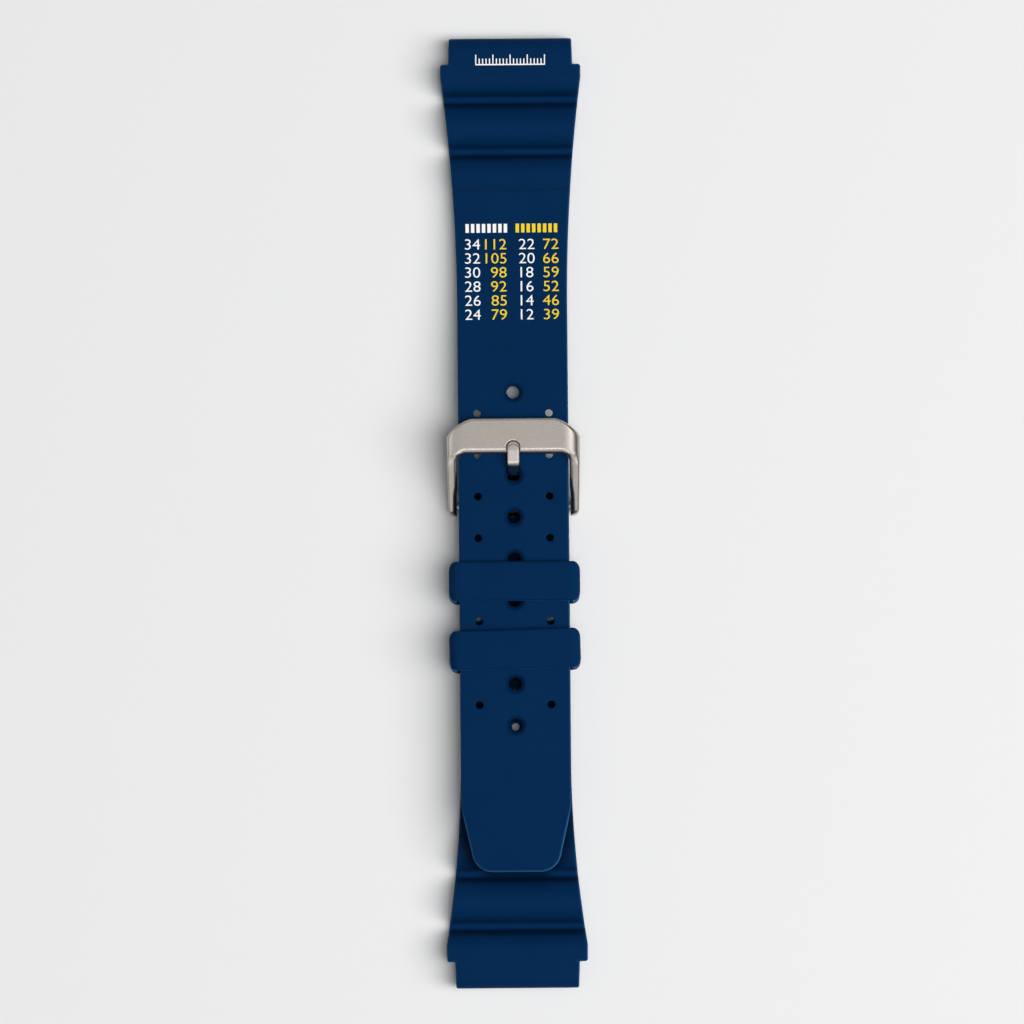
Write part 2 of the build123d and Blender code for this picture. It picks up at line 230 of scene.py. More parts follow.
def places(line, *values):
    """Number of the place in a line of numbers that is nearest to each value."""
    return [int(np.argmin(np.abs(line - v))) for v in values]


def lengths(line):
    """Length along a line of points as far as each of them."""
    return np.concatenate([[0], np.cumsum(np.linalg.norm(np.diff(line, axis=0), axis=1))])


def walk(line, at):
    """Places of a line at the given lengths along it."""
    along = lengths(line)
    return np.column_stack([np.interp(at, along, line[:, 0]), np.interp(at, along, line[:, 1])])


def block_loop(ids, i0, i1, j0, j1):
    """The rim of a block of grid cells as one ring of vertex numbers."""
    return np.concatenate([ids[i0, j0:j1], ids[i0:i1, j1], ids[i1, j1:j0:-1], ids[i1:i0:-1, j0]])


class Slab:
    """A closed body between an upper and a lower surface over one grid of places.
    Upper and lower faces fill each grid cell that holds material. Wherever a cell has no
    neighbour, a wall in WALL_STEPS even steps joins the upper rim to the lower rim.
    Its points carry two marks: deep for painted shade, and one for a painted highlight on rounded edges."""

    def __init__(self, x, y, high, low, filled=None):
        share = np.linspace(0, 1, WALL_STEPS + 1)[:, None, None]
        z = high[None] + (low - high)[None] * share
        self.points = [np.stack(np.broadcast_arrays(x, y, z), axis=-1).reshape(-1, 3)]
        self.deep = [np.zeros(z.size)]
        self.worn = np.zeros(z.size)
        self.count = z.size
        self.ids = np.arange(z.size).reshape(z.shape)
        self.filled = np.ones((x.shape[0] - 1, x.shape[1] - 1), bool) if filled is None else filled
        self.open = np.zeros_like(self.filled)
        self.gone = set()
        self.faces = []

    def add(self, points, deep=0.0):
        """Append points and give their numbers."""
        first = self.count
        self.points.append(points)
        self.deep.append(np.full(len(points), float(deep)))
        self.count += len(points)
        return np.arange(first, self.count)

    def join(self, rings):
        """Join rings of equally many vertices, each to the next."""
        self.faces += [bridge(a, b) for a, b in zip(rings[:-1], rings[1:])]

    def punch(self, i0, i1, j0, j1, centre, steps_down, steps_up):
        """Cut a round hole through one block of cells. Each ring is the block's rim drawn in
        towards the centre to a radius, at that place's surface height less a drop."""
        top, bottom = self.ids[0], self.ids[-1]
        self.open[i0:i1, j0:j1] = True
        rings = []
        for ids, steps in ((top, steps_down), (bottom, steps_up)):
            rim = block_loop(ids, i0, i1, j0, j1)
            edge = self.points[0][rim]
            away = unit(edge[:, :2] - centre)
            slope, level = surface_plane(edge, centre)
            made = [rim]
            for radius, drop, deep in steps:
                flat = centre + away * radius
                made.append(self.add(np.column_stack([flat, level + (flat - centre) @ slope - drop]), deep))
            rings.append(made)
        self.join(rings[0] + rings[1][::-1])

    def bore(self, i0, i1, k0, k1, column_a, column_b, centre, radius):
        """Cut a round bore across between two walls, each a column of the grid. centre is Y, Z."""
        rings = []
        for column in (column_a, column_b):
            wall = self.ids[:, :, column]
            self.gone.update((column, i) for i in range(i0, i1))
            rim = block_loop(wall, k0, k1, i0, i1)
            edge = self.points[0][rim]
            ring = np.column_stack([edge[:, 0], centre + unit(edge[:, 1:] - centre) * radius])
            rings.append([rim, self.add(ring)])
        self.bore_block = (k0, k1)
        self.join(rings[0] + rings[1][::-1])

    def finish(self, name, material, bend=None):
        """Close the body with its faces and walls. bend carries the points to another place."""
        shown = self.filled & ~self.open
        for ids in (self.ids[0], self.ids[-1]):
            quads = np.stack([ids[:-1, :-1], ids[:-1, 1:], ids[1:, 1:], ids[1:, :-1]], axis=-1)
            self.faces.append(quads[shown])
        solid = np.pad(self.filled, 1)
        along = solid[1:, 1:-1] != solid[:-1, 1:-1]
        across = solid[1:-1, 1:] != solid[1:-1, :-1]
        for rim, di, dj in ((along, 0, 1), (across, 1, 0)):
            i, j = np.nonzero(rim)
            bored = np.array([di == 1 and (b, a) in self.gone for a, b in zip(i, j)], bool)
            for k, (up, down) in enumerate(zip(self.ids[:-1], self.ids[1:])):
                cut = self.gone and self.bore_block[0] <= k < self.bore_block[1]
                here = (i[~bored], j[~bored]) if cut else (i, j)
                there = (here[0] + di, here[1] + dj)
                self.faces.append(np.stack([up[here], up[there], down[there], down[here]], axis=-1))
        points = np.concatenate(self.points)
        if bend is not None:
            points = bend(points)
        worn = np.concatenate([self.worn, np.zeros(len(points) - len(self.worn))])
        marks = {"deep": np.concatenate(self.deep), "worn": worn}
        return put_mesh(name, points, self.faces, material, marks=marks)


def surface_plane(edge, centre):
    """The plane that lies best on the rim of a block: its slope along X and Y, its height at centre."""
    base = np.column_stack([edge[:, :2] - centre, np.ones(len(edge))])
    fit = np.linalg.lstsq(base, edge[:, 2], rcond=None)[0]
    return fit[:2], fit[2]


def smooth(t):
    """Share that leaves 0 level and reaches 1 level."""
    t = np.clip(t, 0, 1)
    return t * t * (3 - 2 * t)


def eased(y, y0, z0, y1, z1):
    """Height on a run that leaves y0, z0 level and arrives level at y1, z1."""
    return z0 + (z1 - z0) * smooth((y - y0) / (y1 - y0))


def round_drop(inside, radius):
    """How far an edge rounded to radius lies under its face, at a distance inside the outline."""
    back = np.clip(radius - inside, 0, radius)
    return radius - np.sqrt(np.maximum(radius * radius - back * back, 0))


def fall(share, most=0.99):
    """Part of a drop on a quarter circle: none where share is 0, all where it is 1."""
    return 1 - np.sqrt(1 - np.clip(share, 0, most) ** 2)


def nearest(points_a, points_b, outline_a, outline_b):
    """Distance from each place to the nearest place of a dense outline."""
    a, b = points_a.reshape(-1, 1), points_b.reshape(-1, 1)
    return np.hypot(a - outline_a, b - outline_b).min(axis=1).reshape(points_a.shape)


def run(*stops):
    """Even steps between stops: run(0, 4, 10, 2, 11) goes 0 to 10 in 4 steps and on to 11 in 2."""
    parts = [np.linspace(stops[i], stops[i + 2], stops[i + 1] + 1)[:-1] for i in range(0, len(stops) - 2, 2)]
    return np.concatenate(parts + [[stops[-1]]])


def arc_steps(radius, steps):
    """Distances inside an edge at which its rounding turns by even angles."""
    return radius * (1 - np.cos(np.linspace(0, np.pi / 2, steps + 1)))


# Rubber halves

def dome(reach, crest, height, end, low):
    """Height on the circle that is level at the crest and falls to low at end."""
    span, fall = end - crest, height - low
    radius = (span * span + fall * fall) / (2 * fall)
    return height - radius + np.sqrt(np.maximum(radius * radius - (reach - crest) ** 2, 0))


def groove(reach, centre):
    """Height in the round bottom of a groove."""
    off = np.minimum(np.abs(reach - centre), GROOVE_MOUTH)
    return WEB + GROOVE_ROUND - np.sqrt(GROOVE_ROUND ** 2 - off * off)


def band_face(side, y, top):
    """Height of a band's upper face (top 1) or lower face (top 0) between its crease and its end."""
    crease = (side * (HALF_LENGTH - CREASE), CREASE_HEIGHT * top)
    if side > 0:
        crest, level, tail = (low + LONG_THICK * top for low in (LONG_CREST, LONG_UNDER, TAIL_UNDER))
        up = eased(y, *crease, BAR_Y, crest)
        down = eased(y, BAR_Y, crest, LEVEL_Y, level)
        lift = eased(y, LIFT_Y, level, LIFTED_Y, tail)
        return np.where(y > BAR_Y, up, np.where(y > LEVEL_Y, down, lift))
    level, half = (SHORT_TOP, LOOP) if top else (SHORT_UNDER, -LOOP)
    rise = eased(y, *crease, SHORT_LEVEL_Y, level)
    loop = eased(y, BAR_Y - LOOP_LEAD, level, BAR_Y, BAR_HEIGHT + half)
    nose = BAR_HEIGHT + half * np.sqrt(np.maximum(1 - ((y - BAR_Y) / LOOP_NOSE) ** 2, 0))
    return np.where(y > BAR_Y, nose, np.where(y > BAR_Y - LOOP_LEAD, loop, rise))


def softened(side):
    """The upper side view of a half as a table: flat block, two grooves between round bulges and
    the band, softened by a narrow bell so that grooves and crease get their moulded fillets."""
    step = 0.02
    reach = np.arange(-2, CREASE + 12, step)
    y = side * (HALF_LENGTH - reach)
    lips = [g + d * GROOVE_MOUTH for g in (GROOVE_1, GROOVE_2) for d in (-1, 1)]
    height = np.select(
        [reach < LUG_FLAT, reach < lips[0], reach < lips[1], reach < lips[2], reach < lips[3],
         reach < BULGE_2, reach < CREASE],
        [np.full_like(reach, LUG),
         dome(reach, LUG_FLAT, LUG, lips[0], LIP_HEIGHT),
         groove(reach, GROOVE_1),
         dome(reach, BULGE_1, BULGE_1_HEIGHT, lips[2], LIP_HEIGHT),
         groove(reach, GROOVE_2),
         dome(reach, BULGE_2, BULGE_2_HEIGHT, lips[3], LIP_HEIGHT),
         dome(reach, BULGE_2, BULGE_2_HEIGHT, CREASE, CREASE_HEIGHT)],
        band_face(side, y, 1))
    bell = np.exp(-0.5 * (np.arange(-60, 61) * step / GROOVE_SOFT) ** 2)
    soft = np.convolve(height, bell / bell.sum(), mode="same")
    return reach[100:-100], soft[100:-100]


SOFT = {side: softened(side) for side in (1, -1)}


def half_face(side, reach, top):
    """Upper face (top 1) or lower face (top 0) of a half at a reach from its half-round nose."""
    drop = round_drop(reach, LUG / 2)
    if top:
        nose, wave, end = LUG - drop, np.interp(reach, *SOFT[side]), TABLE_END
    else:
        nose, wave, end = drop, 0, CREASE
    band = band_face(side, side * (HALF_LENGTH - reach), top)
    return np.where(reach < LUG / 2, nose, np.where(reach < end, wave, band))


def half_width(side, reach):
    """Half the width in plan: nose corner, neck, filleted shoulder, hollow taper, band and, on the
    long half, the tail's straight taper with its round corners."""
    start, end = TAPER[side]
    t = np.clip((reach - start) / (end - start), 0, 1)
    wide = BAND + (SHOULDER - BAND) * (1 - t) ** 2 - round_drop(reach - NECK_REACH, SHOULDER_ROUND)
    fillet = round_drop(NECK_REACH - reach, NECK_FILLET)
    neck = NECK + NECK_FLARE * smooth(reach / NECK_REACH) + fillet - round_drop(reach, NOSE_ROUND)
    wide = np.where(reach > NECK_REACH, wide, neck)
    if side < 0:
        return wide
    left = TAIL_REACH - reach
    slope = (BAND - TAIL_END) / TAIL_TAPER
    tip = TAIL_END + slope * left
    lean = np.arctan(slope)
    centre = TAIL_END + slope * TAIL_CORNER - TAIL_CORNER / np.cos(lean)
    corner = centre + TAIL_CORNER - round_drop(left, TAIL_CORNER)
    tip = np.where(left < TAIL_CORNER * (1 - np.sin(lean)), corner, tip)
    return np.where(left < TAIL_TAPER, tip, wide)


EDGE_IN = arc_steps(EDGE_ROUND, 5)
COLUMNS = np.unique(np.round(np.concatenate([
    BAND - EDGE_IN, [9.2, 8.75, 8.2], [SLOT_HALF],
    run(VENT_X + VENT_BLOCK, 6, VENT_X - VENT_BLOCK, 5, HOLE_BLOCK, 10, -HOLE_BLOCK)]), 5))
COLUMNS = np.unique(np.concatenate([COLUMNS, -COLUMNS]))


def half_grid(side, rows):
    """Places of the grid: rows are reaches. Columns keep their place across the middle of the
    band, spread out to the edge where a half is wider and draw together where the tail narrows."""
    reach = rows[:, None]
    wide = half_width(side, reach)
    inner = VENT_X + VENT_BLOCK
    spread = np.clip((np.abs(COLUMNS) - inner) / (BAND - EDGE_ROUND - inner), 0, 1)
    x = COLUMNS * np.minimum(wide / BAND, 1) + np.sign(COLUMNS) * spread * np.maximum(wide - BAND, 0)
    return x, np.broadcast_to(reach, x.shape)


def half_surface(side, x, reach):
    """Upper and lower heights with every outer edge rounded by its distance to the outline, and
    that distance."""
    fine = np.concatenate([np.arange(0, reach.max() + 0.5, 0.1), np.arange(4.4, 5.6, 0.02)])
    step = np.linspace(NECK + NECK_FLARE + NECK_FILLET, SHOULDER - SHOULDER_ROUND, 40)
    lines = [(step, np.full_like(step, NECK_REACH))]
    if side > 0:
        fine = np.concatenate([fine[fine < TAIL_REACH], TAIL_REACH - arc_steps(2.0, 60)])
        across = np.linspace(0, half_width(side, np.array(TAIL_REACH)), 200)
        lines.append((across, np.full_like(across, TAIL_REACH)))
    lines.append((half_width(side, fine), fine))
    gap = nearest(np.abs(x), reach, *np.concatenate(lines, axis=1))
    high, low = half_face(side, reach, 1), half_face(side, reach, 0)
    drop = round_drop(gap, np.minimum(EDGE_ROUND, (high - low) * 0.499))
    return high - drop, low + drop, gap


def mark_rubber(slab, side, reach, gap):
    """Mark a half's upper face with painted shade where it lies out of the light: both walls of each
    groove, the wall that faces the tail's end less, and the foot of the last bulge. The rounded edge
    gets a painted highlight."""
    y = side * (HALF_LENGTH - reach)
    shade = np.zeros_like(y)
    # painted shade on the groove walls and on the foot of the last bulge
    for at in (GROOVE_1, GROOVE_2):
        off = y - side * (HALF_LENGTH - at)
        for wall, most in GROOVE_WALLS:
            away = (off - wall) * np.sign(wall)
            shade = np.maximum(shade, most * np.exp(-(away / np.where(away > 0, WALL_OUT, WALL_IN)) ** 2))
    foot = CREASE - reach
    shade = np.maximum(shade, FOOT_SHADE * (1 - foot / FOOT_RUN) * (foot > 0) * (foot < FOOT_RUN))
    slab.deep[0][slab.ids[0]] = shade
    # painted highlight along the rounded edge, stronger towards the tail's end
    on_tail = smooth((reach - TAIL_REACH + TAIL_TAPER) / PAINTED_HIGHLIGHT_START) * (side > 0)
    slab.worn[slab.ids[0]] = (PAINTED_HIGHLIGHT + PAINTED_HIGHLIGHT_TAIL * on_tail) * smooth((PAINTED_HIGHLIGHT_IN - gap) / PAINTED_HIGHLIGHT_SOFT)


def dished():
    """Rings of a dished hole from its rim inwards: a shallow bowl, then a short round lip. Each
    ring is its radius, its drop and its painted shade, darker down the bowl and fully dark on the bore."""
    share = np.linspace(0, 1, 7)
    radii = DISH - (DISH - HOLE - 0.06) * share
    drops = DISH_DEPTH * share ** 1.2
    shade = DISH_SHADE * np.sqrt(share)
    return [(DISH + 0.15, 0.0, 0.0)] + list(zip(radii, drops, shade)) + [(HOLE, DISH_DEPTH + 0.08, 1.0)]


# a plain lip's rings: how far each lies out from the hole, its drop and its painted shade; the bore wall is
# painted fully dark
PLAIN_LIP = [(0.09, 0.0, 0.0), (0.03, 0.03, 0.0), (0.0, 0.1, 1.0)]


def plain(radius, sign=1):
    """Rings of a plain hole's slightly rounded lip."""
    return [(radius + grow, sign * drop, deep) for grow, drop, deep in PLAIN_LIP]


OUTER_ROWS = np.concatenate([
    arc_steps(LUG / 2, 12), [2.6, 3.0, 3.3, 3.6, 4.0, 4.3],
    NECK_REACH + np.array([-0.3, -0.2, -0.12, -0.05, 0.0, 0.02, 0.06, 0.12, 0.2, 0.3, 0.4, 0.5]),
    run(5.7, 11, 9.5, 32, 12.7, 12, BULGE_1)])
WAVE_ROWS = run(BULGE_1, 12, 18.9, 32, 22.1, 15, 27.2, 12, WAVE_END)


def half_slab(side, rows, filled=None):
    """The marked slab over one stretch of a half, and the places of its grid."""
    x, reach = half_grid(side, rows)
    high, low, gap = half_surface(side, x, reach)
    slab = Slab(x, side * (HALF_LENGTH - reach), high, low, filled)
    mark_rubber(slab, side, reach, gap)
    return slab, x, reach


def outer_piece(side, name, material):
    """The lug end of a half as far as the top of its outer bulge, with the lug bore."""
    slab = half_slab(side, OUTER_ROWS)[0]
    i0, i1 = places(OUTER_ROWS, LUG / 2 - LUG_BLOCK[0], LUG / 2 + LUG_BLOCK[1])
    centre = (side * (HALF_LENGTH - LUG / 2), LUG / 2)
    slab.bore(i0, i1, 1, WALL_STEPS - 1, 0, len(COLUMNS) - 1, centre, LUG_BORE)
    return slab.finish(name, material)


def cut_hole(slab, side, rows, reach, x, radius, block, steps_down):
    """Cut a round hole at a reach and an X through the block of the grid that is kept for it."""
    i0, i1 = places(rows, reach - block, reach + block)
    j0, j1 = places(COLUMNS, x - block, x + block)
    slab.punch(i0, i1, j0, j1, np.array([x, side * (HALF_LENGTH - reach)]), steps_down, plain(radius, -1))


def long_inner(material):
    """The long half from the top of its outer bulge to its tail, with its holes and vents."""
    holes = HOLE_ROW + HOLE_PITCH * np.arange(HOLES)
    vents = holes[:-1] + HOLE_PITCH / 2
    pattern = [run(h - HOLE_BLOCK, 10, h + HOLE_BLOCK) for h in holes]
    pattern += [run(v - VENT_BLOCK, 6, v + VENT_BLOCK) for v in vents]
    rows = np.unique(np.round(np.concatenate([
        WAVE_ROWS, run(WAVE_END, 55, holes[0] - HOLE_BLOCK), *pattern,
        run(holes[-1] + HOLE_BLOCK, 34, TAIL_REACH - 4.0, 12, TAIL_REACH - 1.0, 3, TAIL_REACH - EDGE_ROUND),
        TAIL_REACH - EDGE_IN]), 5))
    slab = half_slab(1, rows)[0]
    for h in holes:
        cut_hole(slab, 1, rows, h, 0.0, HOLE, HOLE_BLOCK, dished())
    for v in vents:
        for cx in (-VENT_X, VENT_X):
            cut_hole(slab, 1, rows, v, cx, VENT, VENT_BLOCK, plain(VENT))
    return slab.finish("long_band_rubber", material)


def short_inner(material):
    """The short half from the top of its outer bulge to its loop round the spring bar."""
    bar = HALF_LENGTH + BAR_Y
    slot = bar - SLOT_BACK
    spots = [(c, r) for r in SHORT_PAIRS for c in (-VENT_X, VENT_X)] + [(0.0, r) for r in SHORT_SINGLES]
    pattern = [run(r - VENT_BLOCK, 6, r + VENT_BLOCK) for r in SHORT_PAIRS + SHORT_SINGLES]
    pattern += [run(r + VENT_BLOCK, 6, r + SHORT_PITCH - VENT_BLOCK)
                for r in SHORT_PAIRS[1:] + SHORT_SINGLES[1:]]
    rows = np.unique(np.round(np.concatenate([
        WAVE_ROWS, run(WAVE_END, 20, SHORT_SINGLES[-1] - VENT_BLOCK), *pattern,
        run(SHORT_SINGLES[0] + VENT_BLOCK, 9, SHORT_PAIRS[-1] - VENT_BLOCK),
        run(SHORT_PAIRS[0] + VENT_BLOCK, 18, slot, 4, bar - BAR_BLOCK, 12, bar + BAR_BLOCK),
        bar + LOOP_NOSE - arc_steps(LOOP_NOSE, 14)]), 5))
    rows = rows[np.concatenate([[True], np.diff(rows) > 0.004])]
    middle = (np.abs(COLUMNS[:-1] + COLUMNS[1:]) / 2 < SLOT_HALF)[None]
    slab, x, reach = half_slab(-1, rows, ~(middle & (rows[:-1] > slot - 0.01)[:, None]))
    # painted shade on the face under the long half and on the slot's back wall, which hardly any light reaches
    wide = half_width(1, HALF_LENGTH - np.maximum(reach - HALF_LENGTH, TAIL_Y))
    covered = (np.abs(x) < wide - UNDER_IN) & (reach - HALF_LENGTH > TAIL_Y + UNDER_IN)
    slab.deep[0][slab.ids[:-1, covered]] = UNDER_SHADE
    # painted shadow: the soft shade that the tail's edge throws on the face beside and beyond it
    beside = np.hypot(np.maximum(np.abs(x) - wide, 0), np.maximum(TAIL_Y - reach + HALF_LENGTH, 0))
    shade = TAIL_SHADE * np.exp(-(beside / TAIL_SHADE_RUN) ** 2) * ~covered
    slab.deep[0][slab.ids[0]] = np.maximum(slab.deep[0][slab.ids[0]], shade)
    for cx, r in spots:
        cut_hole(slab, -1, rows, r, cx, VENT, VENT_BLOCK, plain(VENT))
    i0, i1 = places(rows, bar - BAR_BLOCK, bar + BAR_BLOCK)
    left, right = places(COLUMNS, -SLOT_HALF, SLOT_HALF)
    for a, b in ((0, left), (right, len(COLUMNS) - 1)):
        slab.bore(i0, i1, 1, WALL_STEPS - 1, a, b, (BAR_Y, BAR_HEIGHT), BAR_BORE)
    return slab.finish("short_band_rubber", material)


# Keepers

KEEPER_OPENING = 10.3
KEEPER_WALL = 1.2
KEEPER_SIDE = 1.5
KEEPER_ROUND = 1.6
KEEPER_INSIDE = 0.3
KEEPER_PLAN = 1.35
KEEPER_LEAN = 0.65
KEEPER_LENGTH = 7.05
KEEPER_EDGE = 0.42


def rounded_box(half_x, half_z, radius, corner, straight):
    """A rounded rectangle about the origin as one ring, with as many points in each corner and
    on each side whatever its size, so that two of them can be joined point to point."""
    share = np.linspace(0, 1, straight + 2)[1:-1, None]
    arcs = []
    for q, (sx, sz) in enumerate(((1, 1), (-1, 1), (-1, -1), (1, -1))):
        angle = np.linspace(0, np.pi / 2, corner + 1) + q * np.pi / 2
        arcs.append(np.column_stack([sx * (half_x - radius) + radius * np.cos(angle),
                                     sz * (half_z - radius) + radius * np.sin(angle)]))
    sides = [arc[-1] + (after[0] - arc[-1]) * share for arc, after in zip(arcs, arcs[1:] + arcs[:1])]
    return np.concatenate([part for pair in zip(arcs, sides) for part in pair])


def make_keeper(node, turn, material):
    """A moulded ring: the wall's rounded section carried round from the opening's outline to the
    outer outline, its length falling off at the sides by the plan's round corners, the whole ring
    leaning along Y with height and turned about Z."""
    low, high = node_box(node)
    height = high[2] - low[2]
    width = 2 * (KEEPER_OPENING + KEEPER_SIDE)
    outer = rounded_box(width / 2, height / 2, KEEPER_ROUND, 12, 14)
    inner = rounded_box(width / 2 - KEEPER_SIDE, height / 2 - KEEPER_WALL, KEEPER_INSIDE, 12, 14)
    wall = np.linalg.norm(outer - inner, axis=1)[:, None]
    angle = np.linspace(0, np.pi / 2, 7)
    # depth from the nearer face and distance in from the end, round one corner of the wall's section
    corner = np.column_stack([1 - np.cos(angle), 1 - np.sin(angle)]) * KEEPER_EDGE
    section = [(d, e, False) for d, e in corner] + [(d, e, True) for d, e in corner[::-1]]
    across = np.linspace(1, -1, 9)[1:-1]
    rows = []
    for end in (1, -1):
        for d, e, inside in section[::end]:
            share = 1 - d / wall if inside else d / wall
            spot = outer + (inner - outer) * share
            reach = KEEPER_LENGTH / 2 - round_drop(width / 2 - np.abs(spot[:, 0]), KEEPER_PLAN) - e
            rows.append(np.column_stack([spot[:, 0], end * reach, spot[:, 1] + height / 2]))
        face = rows[-1]
        rows += [np.column_stack([face[:, 0], face[:, 1] * m, face[:, 2]]) for m in across]
    x, y, z = np.moveaxis(np.stack(rows), -1, 0)
    y = y + KEEPER_LEAN * (z / height - 0.5)
    c, s = np.cos(np.radians(turn)), np.sin(np.radians(turn))
    points = np.stack([x * c - y * s, x * s + y * c + (low[1] + high[1]) / 2, z + low[2]], axis=-1)
    ids = np.arange(x.size).reshape(x.shape)
    faces = [bridge(a, b) for a, b in zip(ids, np.roll(ids, -1, axis=0))]
    return put_mesh(node + "_ring", points.reshape(-1, 3), faces, material)


# Buckle

FRAME_INNER = 10.3
FRAME_OUTER = 11.95
LEG_IN = 0.2
FRAME_END = 11.78
FRONT_BACK = BAR_Y + 9.3
FRONT_Y = BAR_Y + 15.75
FRONT_TOP = node_box("buckle_frame")[1][2]
FRONT_THICK = 1.6
EYE_ROUND = 1.7
LEG_EDGE = 0.36
EYE = 0.5
EYE_BLOCK = 0.75
TOUCH_ABOVE = 0.397
TOUCH_BELOW = 0.406
WINDOW = 1.6
CORNER_RUN = 4.85
CORNER_DROP = 3.6
CORNER_SIDE = 2.4
CORNER_FRONT = 3.3
CORNER_BLOCK = 6.9
FOOT = 4.5
FOOT_X = 10.0
FOOT_SOFT = 0.6
BEND = 3.1
BEND_MOST = 0.94
BEND_DROP = 0.9
BAR_LEAD = 2.6
BAR_RUN = 3.4
LEG_STRIP = 0.55
LEG_END_ROUND = 1.0
LEG_FOOT = (FRONT_BACK + 1.2, FRONT_TOP - 2.7)
LEG_ROLL = 0.8
ROLL = 1.0
BAR_ROLL = 1.2
BAR_EDGE = 0.5
UNDER_EDGE = 0.25
RIM_ROWS = 0.9
NOTCH_HALF = 1.18
NOTCH_LENGTH = 2.3
NOTCH_DEPTH = 0.8
NOTCH_FALL = 0.3
NOTCH_FALL_RUN = 1.3
NOTCH_STEP = 0.16
NOTCH_RIM = 0.32


def tangent_line(y, point, turn):
    """Height on the line from a point that touches the eye's circle above or below."""
    dy, dz = point[0] - BAR_Y, point[1] - BAR_HEIGHT
    slope = np.tan(np.arctan2(dz, dy) - turn * np.arcsin(EYE_ROUND / np.hypot(dy, dz)))
    return point[1] - slope * (point[0] - y)


def eye_circle(y, turn):
    """Height of the leg's round end above or below the bar."""
    return BAR_HEIGHT + turn * np.sqrt(np.maximum(EYE_ROUND ** 2 - (y - BAR_Y) ** 2, 0))


def bezier(p0, p1, p2, p3, steps):
    """Points of a curve that leaves p0 towards p1 and comes to p3 from p2."""
    t = np.linspace(0, 1, steps)[:, None]
    return p0 * (1 - t) ** 3 + 3 * p1 * t * (1 - t) ** 2 + 3 * p2 * t * t * (1 - t) + p3 * t ** 3


def even(line, steps):
    """A line cut into even steps of its own length, without its first point."""
    return walk(line, np.linspace(0, lengths(line)[-1], steps + 1)[1:])


def frame_outlines():
    """Inner and outer outline of the right half of the stirrup, point for point, from the leg's
    round end up the leg, round the corner and along the front bar to the middle."""
    end_y = BAR_Y - EYE_ROUND
    leg_y = np.unique(np.round(np.concatenate([
        end_y + arc_steps(EYE_ROUND, 9), run(BAR_Y - EYE_BLOCK, 2, BAR_Y - 0.25),
        run(BAR_Y + 0.25, 3, BAR_Y + EYE_BLOCK, 16, FRONT_BACK - WINDOW)]), 5))
    outer_x = FRAME_END + (FRAME_OUTER - FRAME_END) * np.clip((leg_y - BAR_Y) / (FRONT_BACK - BAR_Y), 0, 1)
    outer_x = outer_x - round_drop(leg_y - end_y, LEG_END_ROUND)
    inner = [np.column_stack([FRAME_INNER - LEG_IN * smooth((leg_y - BAR_Y - 1.8) / 2), leg_y])]
    outer = [np.column_stack([outer_x, leg_y])]
    steps = 40
    turn = np.linspace(0, np.pi / 2, 60)
    arc = np.column_stack([FRAME_INNER - LEG_IN - WINDOW + WINDOW * np.cos(turn),
                           FRONT_BACK - WINDOW + WINDOW * np.sin(turn)])
    inner.append(even(np.concatenate([arc, [[CORNER_BLOCK, FRONT_BACK]]]), steps))
    corner = ((0, CORNER_DROP), (0, CORNER_SIDE), (CORNER_FRONT, 0), (CORNER_RUN, 0))
    curve = bezier(*np.array([FRAME_OUTER, FRONT_Y]) - corner, 200)
    outer.append(even(np.concatenate([outer[0][-1:], curve, [[CORNER_BLOCK, FRONT_Y]]]), steps))
    bar_x = run(CORNER_BLOCK, 15, NOTCH_HALF + 0.5, 22, 0.0)[1:]
    inner.append(np.column_stack([bar_x, np.full_like(bar_x, FRONT_BACK)]))
    outer.append(np.column_stack([bar_x, np.full_like(bar_x, FRONT_Y)]))
    return np.concatenate(inner), np.concatenate(outer)


def closely(line):
    """X and Y along a line, each of its stretches cut in five."""
    share = np.linspace(0, 1, 6)[:-1, None, None]
    dense = line[:-1] + (line[1:] - line[:-1]) * share
    return dense[..., 0].ravel(), dense[..., 1].ravel()


